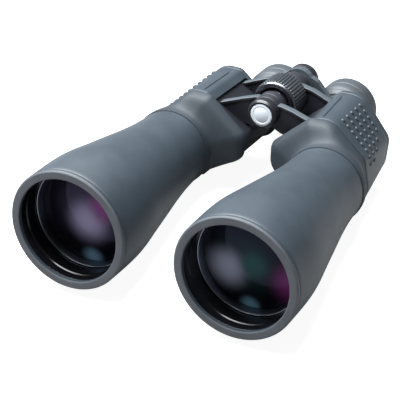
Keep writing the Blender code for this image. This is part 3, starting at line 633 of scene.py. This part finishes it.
# ---- hinge ------------------------------------------------------------------------
def beam(side, stations):
    """Arm with a flat top strip that stands out a little over the web under it."""
    flange, recess, slope = 2.2, 1.0, 0.9
    rings = []
    for x, front, back, low, high in stations:
        corners = [(front, high), (back, high), (back, high - flange),
                   (back - recess, high - flange - slope), (back - recess, low),
                   (front + recess, low), (front + recess, high - flange - slope),
                   (front, high - flange)]
        rings.append([(side * x, y, z) for y, z in corners])
    bm = skin(rings)
    edges = [edge for edge in bm.edges if abs(edge.verts[0].co.x - edge.verts[1].co.x) > 1]
    bmesh.ops.bevel(bm, geom=edges, offset=0.45, segments=3, profile=0.5, affect="EDGES")
    return bm


def hub(radius, span):
    start, end = span
    edge = 0.5
    profile = [(0, start), *hub_side(radius, start, end, edge), (0, end)]
    return turned(profile, HINGE, SMALL, closed=False)


def hub_side(radius, start, end, edge):
    """Outer side of a hub, with both its edges rounded."""
    side = []
    for step in range(4):
        angle = 0.5 * math.pi * step / 3
        side.append((radius - edge + edge * math.sin(angle), start + edge - edge * math.cos(angle)))
    for step in range(4):
        angle = 0.5 * math.pi * step / 3
        side.append((radius - edge + edge * math.cos(angle), end - edge + edge * math.sin(angle)))
    return side


def hinge_arm(name, side, half, which, stations, hub_y):
    """Beam from the housing's wall to a bored hub; its up-facing faces stay light grey as painted
    top light, the rest dark as painted shade, the hub dark all over.
    """
    arm = piece(f"{name}_{which}_arm_shaped", beam(side, stations), half, [f"{name}_{which}_arm"],
                LOOKS["painted"])
    clear, sunk = -0.3, 1.8                  # depths 0.3 mm off the covers and off the housing
    start, end = COVER_Y[1] + 0.3, ARMOUR_Y[1]
    levels = [(start - 4.3, clear, False), (start, clear, False), (start, sunk, True),
              (end, sunk, True), (end, clear, False), (REAR_Y[1] + 0.3, clear, False)]
    wall = skin([ring_at(side, section(*level), level[0]) for level in levels])
    front, back = hub_y[0] - 2, hub_y[1] + 2
    profile = [(0, front), (HUB_BORE, front), (HUB_BORE, back), (0, back)]
    if hub_y[1] > SLEEVE_SEAT:
        profile[2:3] = [(HUB_BORE, SLEEVE_SEAT), (SLEEVE_BORE, SLEEVE_SEAT), (SLEEVE_BORE, back)]
    bore = turned(profile, HINGE, SMALL, closed=False)
    cut(arm, [(wall, "DIFFERENCE"), (hub(HUB_RADIUS, hub_y), "UNION"), (bore, "DIFFERENCE")])
    # Painted light: faces pointing up keep the light grey, faces turned from the top light take the
    # dark metal; the hub is dark all over.
    paint(arm, LOOKS["web"], lambda place, normal: normal.z < 0.55
          or math.hypot(place.x, place.z - HINGE[1]) < HUB_RADIUS + 0.1)


FRONT_HUB_Y = {"left": (171.3, 177.5), "right": (177.8, 184.0)}
REAR_HUB_Y = {"left": (208.4, 214.6), "right": (214.9, 226.0)}


def hinge_arms(name, side, half):
    low = HINGE[1] - 10
    inside = 0.25                            # the beams are a little thinner than their hubs
    front, back = FRONT_HUB_Y[name][0] + inside, FRONT_HUB_Y[name][1] - inside
    turn = front if name == "left" else front - 3
    stations = [(2, front, back, low, 37.6), (11.6, front, back, 16, 37.2),
                (20, turn, turn + back - front, 14, 35.3), (35, 170.2, 175.9, 8, 31.0)]
    hinge_arm(name, side, half, "front", stations, FRONT_HUB_Y[name])
    front = REAR_HUB_Y[name][0] + inside
    back = front + 5.7
    turn = front if name == "left" else front - 4
    stations = [(2, front, back, low, 39.6), (11.6, front, back, 16, 39.0),
                (20, turn, turn + back - front, 14, 37.2), (35, 206.9, 212.6, 12, 32.2)]
    hinge_arm(name, side, half, "rear", stations, REAR_HUB_Y[name])


def tripod_cap():
    """Unscrewing cap with rounded edges, and a plain pale disc with one turned ring."""
    start, end = span_of("tripod_cap")
    corners = [(8.5, start + 0.8, 0), (8.5, start, 0.25), (9.6, start, 0.3), (11, start + 1.6, 1.2),
               (11, end, 0.3), (7, end, 0), (7, start + 1.9, 0)]
    profile = [(0, start + 0.8)] + rounded(corners, closed=False) + [(0, start + 1.9)]
    piece("tripod_cap_shaped", turned(profile, HINGE, SMALL, closed=False), "tripod_cap",
          ["tripod_cap"], LOOKS["knob"])
    low, high = span_of("cap_badge")
    disc = [(0, low + 0.15), (5.6, low + 0.15), (5.8, low + 0.3), (6.2, low + 0.3),
            (6.4, low + 0.1), (7.9, low + 0.1), (8.2, low + 0.3), (8.2, high), (0, high)]
    piece("cap_disc", turned(disc, HINGE, SMALL, closed=False), "tripod_cap", ["cap_badge"],
          LOOKS["badge"])


# ---- focusing ---------------------------------------------------------------------
def rib_ring(y, radius, share):
    """Ring of round ribs; share is their depth as part of the full depth."""
    ring = []
    points = 8
    for index in range(WHEEL_RIBS * points):
        phase = (index % points) / points
        dip = 0.75 * share * (1 - min(1.0, 3.2 * min(phase, 1 - phase))) ** 1.2
        angle = math.tau * index / (WHEEL_RIBS * points)
        reach = radius - dip
        ring.append((reach * math.cos(angle), y, HINGE[1] + reach * math.sin(angle)))
    return ring


def focus_wheel():
    start, end = span_of("focus_wheel_grip")
    stations = [(start, 0.9, 0.3), (start + 0.4, 0.25, 0.8), (start + 1.0, 0, 1),
                (end - 1.4, 0, 1), (end - 0.5, 0.35, 0.7), (end, 1.2, 0.1)]
    rings = [rib_ring(y, WHEEL_RADIUS - drop, share) for y, drop, share in stations]
    rings += [rib_ring(y, WHEEL_BORE, 0) for y in (end, start)]
    piece("focus_wheel_grip_shaped", skin(rings, ends=False), "focus_wheel", ["focus_wheel_grip"],
          LOOKS["wheel"], sharp=45)

    low, high = span_of("focus_wheel_trim")
    corners = [(WHEEL_BORE, low + 0.2, 0.1), (14.1, low, 0.3), (15.5, low, 0.5),
               (16.4, low + 0.8, 0.5), (16.4, high, 0.1), (WHEEL_BORE, high, 0)]
    piece("focus_wheel_trim_shaped", turned(rounded(corners), HINGE, FINE), "focus_wheel",
          ["focus_wheel_trim"], LOOKS["bright"])

    low, high = span_of("focus_wheel_core")
    corners = [(HUB_BORE, low + 1, 0.2), (8.2, low + 1, 0.4), (12.2, low + 6, 0.8),
               (12.2, low + 0.3, 0.3), (13.4, low, 0.2), (13.4, high, 0.2), (HUB_BORE, high, 0)]
    piece("focus_wheel_core_shaped", turned(rounded(corners), HINGE, FINE), "focus_wheel",
          ["focus_wheel_core"], LOOKS["plum"])


def focus_core():
    low, high = span_of("bridge_end_cap")
    socket, socket_end = 4.6, 240.3          # where the focus rod ends in the cap
    corners = [(socket, low, 0), (11.9, low, 0.3), (11.9, low + 5.6, 2.5), (9.4, high - 0.6, 3),
               (4, high, 2)]
    profile = [(0, socket_end), (socket, socket_end), *rounded(corners, closed=False, steps=5),
               (0, high)]
    piece("bridge_end_cap_shaped", turned(profile, HINGE, SMALL, closed=False), "left_bridge",
          ["bridge_end_cap"], LOOKS["knob"])
    low, high = span_of("focus_sleeve")
    corners = [(6.8, low, 0), (9, low, 0.2), (9, high, 0.2), (6.8, high, 0)]
    piece("focus_sleeve_shaped", turned(rounded(corners), HINGE, SMALL), "left_bridge",
          ["focus_sleeve"], LOOKS["painted"])


# ---- eyepieces --------------------------------------------------------------------
def eyecup(name, center, body):
    """Rubber cup with soft steps round its outside and a funnel inside."""
    start, end = CUP_Y
    foot, widest, floor = 16.2, 22.4, 250.4
    outside = [(foot, start, 0.2), (18.2, start, 0.5), (20.4, start + 2.8, 0.8),
               (20.4, start + 3.7, 0.3), (21.9, start + 5.2, 0.8), (widest, start + 8, 0.8),
               (widest, start + 12.2, 0.3), (22.0, start + 12.6, 0.3), (22.0, start + 13.2, 0.3),
               (widest, start + 13.6, 0.3), (widest, end - 1, 0.8), (21.4, end, 0.6)]
    funnel = [(19.8, end, 0.7), (17, 256, 3), (OCULAR_BORE, 252.6, 1), (OCULAR_BORE, floor, 0),
              (foot, floor, 0)]
    corners = outside + funnel
    piece(f"{name}_eyecup_shaped", turned(rounded(corners, steps=4), center, FINE), body,
          [f"{name}_eyecup"], LOOKS["cup"])


def ocular_barrel(name, center, body):
    """Eyepiece tube; the right one is thin behind its collar, where the dioptre ring turns."""
    start, shoulder, end = 210, 237.6, 250
    neck = [(11, start, 0), (13, start, 0.3), (13, shoulder, 0),
            (OCULAR_COLLAR, shoulder, 0.4)]
    if name == "right":
        waist = 15.9
        head = [(OCULAR_COLLAR, 238.0, 0.1), (waist, 238.0, 0), (waist, end, 0)]
    else:
        groove = 17.1
        head = [(OCULAR_COLLAR, 239.6, 0.1), (groove, 239.9, 0.1), (groove, 240.4, 0.1),
                (OCULAR_COLLAR, 240.7, 0.1), (OCULAR_COLLAR, 244.1, 0.3), (16, 244.1, 0),
                (16, end, 0)]
    corners = neck + head + [(OCULAR_BORE, end, 0), (11, 247, 0)]
    piece(f"{name}_ocular_barrel_shaped", turned(rounded(corners), center, SMALL), body,
          [f"{name}_ocular_barrel"], LOOKS["web"])


def eyepiece_guide(name, center, half):
    low, high = span_of("left_eyepiece_guide")
    corners = [(13.3, low, 0), (15, low, 0.2), (15, high, 0.5), (13.3, high, 0.3)]
    piece(f"{name}_eyepiece_guide_shaped", turned(rounded(corners), center, SMALL), half,
          [f"{name}_eyepiece_guide"], LOOKS["black"])


def eye_lens(name, center, body, which):
    low, high = span_of(f"left_{which}")
    radius, bulge, steps = 10.85, 1.2, 8
    front = [Vector((radius * s / steps, low + bulge * (s / steps) ** 2)) for s in range(steps + 1)]
    back = [Vector((radius * s / steps, high - bulge * (s / steps) ** 2))
            for s in range(steps, -1, -1)]
    # Painted reflection: a dark blue tint over the glass and a purple zone towards the upper right.
    glass = glass_with_painted_reflections(f"{name}_{which}_glass", (center[0], high, center[1]), 10.8,
                         [(0, 0, 1.3, (0.01, 0.02, 0.04)), (0.3, 0.3, 0.7, (0.05, 0.03, 0.09))],
                         (0.006, 0.006, 0.01))
    piece(f"{name}_{which}_shaped", turned(front + back, center, SMALL, closed=False), body,
          [f"{name}_{which}"], glass, sharp=50)


def diopter_ring():
    """Milled ring under the right eyecup."""
    low, high = span_of("diopter_ring")
    center = (-EYE.x, EYE.z)
    ribs, points, depth = 60, 6, 0.45
    outer, edge, bore = 19, 18.4, 16.4

    def ring(y, radius, share):
        made = []
        for index in range(ribs * points):
            phase = abs(2 * (index % points) / points - 1)
            reach = radius - depth * share * max(0.0, phase - 0.4) / 0.6
            angle = math.tau * index / (ribs * points)
            made.append((center[0] + reach * math.cos(angle), y,
                         center[1] + reach * math.sin(angle)))
        return made

    rings = [ring(low, edge, 0), ring(low + 0.5, outer, 1), ring(high - 0.5, outer, 1),
             ring(high, edge, 0), ring(high, bore, 0), ring(low, bore, 0)]
    piece("diopter_ring_shaped", skin(rings, ends=False), "diopter_ring", ["diopter_ring"],
          LOOKS["wheel"])


# ---- CAD nodes that stay ----------------------------------------------------------
def dress_nodes():
    """Materials, and small rounded edges, for the CAD nodes that keep their shape."""
    plain = {"bright": ["hinge_tube", "focus_rod"], "brass": ["tripod_bush"]}
    for name in SIDES:
        plain["bright"].append(f"{name}_prism_clip")
        plain.setdefault("painted", []).extend([f"{name}_strap_lug", f"{name}_bridge_arm"])
        plain.setdefault("black", []).append(f"{name}_prism_shelf")
        plain.setdefault("clear", []).extend([f"{name}_front_prism", f"{name}_rear_prism",
                                              f"{name}_objective_flint"])
    for look, names in plain.items():
        for name in names:
            node = frame["nodes"][name]
            node.data.materials.clear()
            node.data.materials.append(LOOKS[look])
    for name in SIDES:
        soften(frame["nodes"][f"{name}_strap_lug"], 0.5)


# ---- stage ------------------------------------------------------------------------
CAMERA_AT = Vector((350.13, -637.81, 426.51))
CAMERA_AZIMUTH = math.radians(26.293)
CAMERA_ELEVATION = math.radians(28.010)
CAMERA_ROLL = math.radians(1.730)


def camera():
    lens = bpy.data.cameras.new("camera")
    lens.lens = 121.99
    lens.sensor_width = 36.0
    lens.clip_start = 0.01
    made = bpy.data.objects.new("camera", lens)
    bpy.context.scene.collection.objects.link(made)
    az, el = CAMERA_AZIMUTH, CAMERA_ELEVATION
    back = Vector((math.sin(az) * math.cos(el), -math.cos(az) * math.cos(el), math.sin(el)))
    right = Vector((math.cos(az), math.sin(az), 0))
    up = back.cross(right)
    across = right * math.cos(CAMERA_ROLL) + up * math.sin(CAMERA_ROLL)
    upward = up * math.cos(CAMERA_ROLL) - right * math.sin(CAMERA_ROLL)
    turn = LEVEL.to_3x3().normalized()
    axes = Matrix([turn @ across, turn @ upward, turn @ back]).transposed()
    made.matrix_world = Matrix.Translation(LEVEL @ CAMERA_AT) @ axes.to_4x4()
    bpy.context.scene.camera = made


def area_light(name, place, target, size, power, color=(1, 1, 1)):
    light = bpy.data.lights.new(name, "AREA")
    light.shape = "RECTANGLE"
    light.size, light.size_y = size
    light.energy = power
    light.color = color
    made = bpy.data.objects.new(name, light)
    made.location = place
    made.rotation_mode = "QUATERNION"
    made.rotation_quaternion = (Vector(target) - Vector(place)).to_track_quat("-Z", "Y")
    bpy.context.scene.collection.objects.link(made)


FLOOR_GLOW = 0.93                            # keeps the paper white in view
SKY_LIGHT = 0.13                             # strength of the plain sky as a light
TOP_LIGHT = 72.0                             # watts


def seen_only(tree, socket, seen, unseen):
    """Feed a socket one value for what the camera sees, and another for what lights the pair."""
    path = tree.nodes.new("ShaderNodeLightPath")
    blend = tree.nodes.new("ShaderNodeMapRange")
    blend.inputs["To Min"].default_value = unseen
    blend.inputs["To Max"].default_value = seen
    tree.links.new(path.outputs["Is Camera Ray"], blend.inputs["Value"])
    tree.links.new(blend.outputs["Result"], socket)


def studio():
    bm = bmesh.new()
    bmesh.ops.create_grid(bm, x_segments=4, y_segments=4, size=6.0)
    mesh = bpy.data.meshes.new("floor")
    bm.to_mesh(mesh)
    bm.free()
    floor = bpy.data.objects.new("floor", mesh)
    bpy.context.scene.collection.objects.link(floor)
    paper = surface("white_floor", (0.3, 0.3, 0.3), 0.8, bump=0.0, spread=0.01, specular=0.1)
    glow = paper.node_tree.nodes["Principled BSDF"]
    glow.inputs["Emission Color"].default_value = (1, 1, 1, 1)
    seen_only(paper.node_tree, glow.inputs["Emission Strength"], FLOOR_GLOW, 0.0)
    mesh.materials.append(paper)

    world = bpy.data.worlds.new("studio")
    world.use_nodes = True
    backdrop = world.node_tree.nodes["Background"]
    backdrop.inputs["Color"].default_value = (1.0, 1.0, 1.0, 1)
    seen_only(world.node_tree, backdrop.inputs["Strength"], 1.0, SKY_LIGHT)
    bpy.context.scene.world = world
    bpy.context.scene.view_settings.view_transform = "Standard"

    area_light("top", (-0.35, 0.0, 1.05), (0.0, 0.0, 0.0), (1.0, 1.2), TOP_LIGHT, (0.95, 0.98, 1.0))


# ---- assembly ---------------------------------------------------------------------
# Painted reflections on the objectives, (x, z, reach, color): coloured zones for the coating's
# reflections and a pale blue crescent highlight near the bottom.
LENS_PAINTED_REFLECTIONS = {
    "left": [(-0.1, -0.05, 1.0, (0.014, 0.034, 0.034)), (-0.50, -0.28, 0.60, (0.40, 0.42, 0.56)),
             (0.05, -0.07, 0.42, (0.02, 0.09, 0.08)), (0.82, -0.28, 0.62, (0.30, 0.05, 0.24)),
             (-0.02, -0.95, 0.30, (0.30, 0.62, 0.80))],
    "right": [(0.0, 0.05, 0.95, (0.05, 0.04, 0.075)), (0.04, -0.12, 0.62, (0.36, 0.32, 0.50)),
              (0.36, 0.24, 0.48, (0.24, 0.06, 0.22)), (0.1, -0.9, 0.33, (0.28, 0.5, 0.7))],
}


def build():
    for name, side in SIDES.items():
        half = f"{name}_half"
        center = (side * OBJECTIVE_X, 0.0)
        eye = (side * EYE.x, EYE.z)
        objective_rim(name, center, half)
        barrel(name, center, half)
        lens_cell(name, center, half)
        retaining_ring(name, center, half)
        # the objective's glass carries painted reflections
        glass = glass_with_painted_reflections(f"{name}_objective_glass_painted_reflections", (center[0], 25.0, 0.0), GLASS_RADIUS,
                             LENS_PAINTED_REFLECTIONS[name], (0.006, 0.005, 0.009))
        objective_lens(name, center, half, glass)
        front_cover(name, side, half)
        prism_housing(name, side, half)
        housing_armour(name, side, half)
        grip_studs(name, side, half)
        rear_cover(name, side, half)
        hinge_arms(name, side, half)
        eyepiece_guide(name, eye, half)
        carrier = "left_bridge" if name == "left" else "right_ocular"
        ocular_barrel(name, eye, carrier)
        eyecup(name, eye, carrier)
        eye_lens(name, eye, carrier, "eye_lens")
        eye_lens(name, eye, carrier, "field_lens")
    tripod_cap()
    focus_wheel()
    focus_core()
    diopter_ring()
    dress_nodes()
    camera()
    studio()


build()
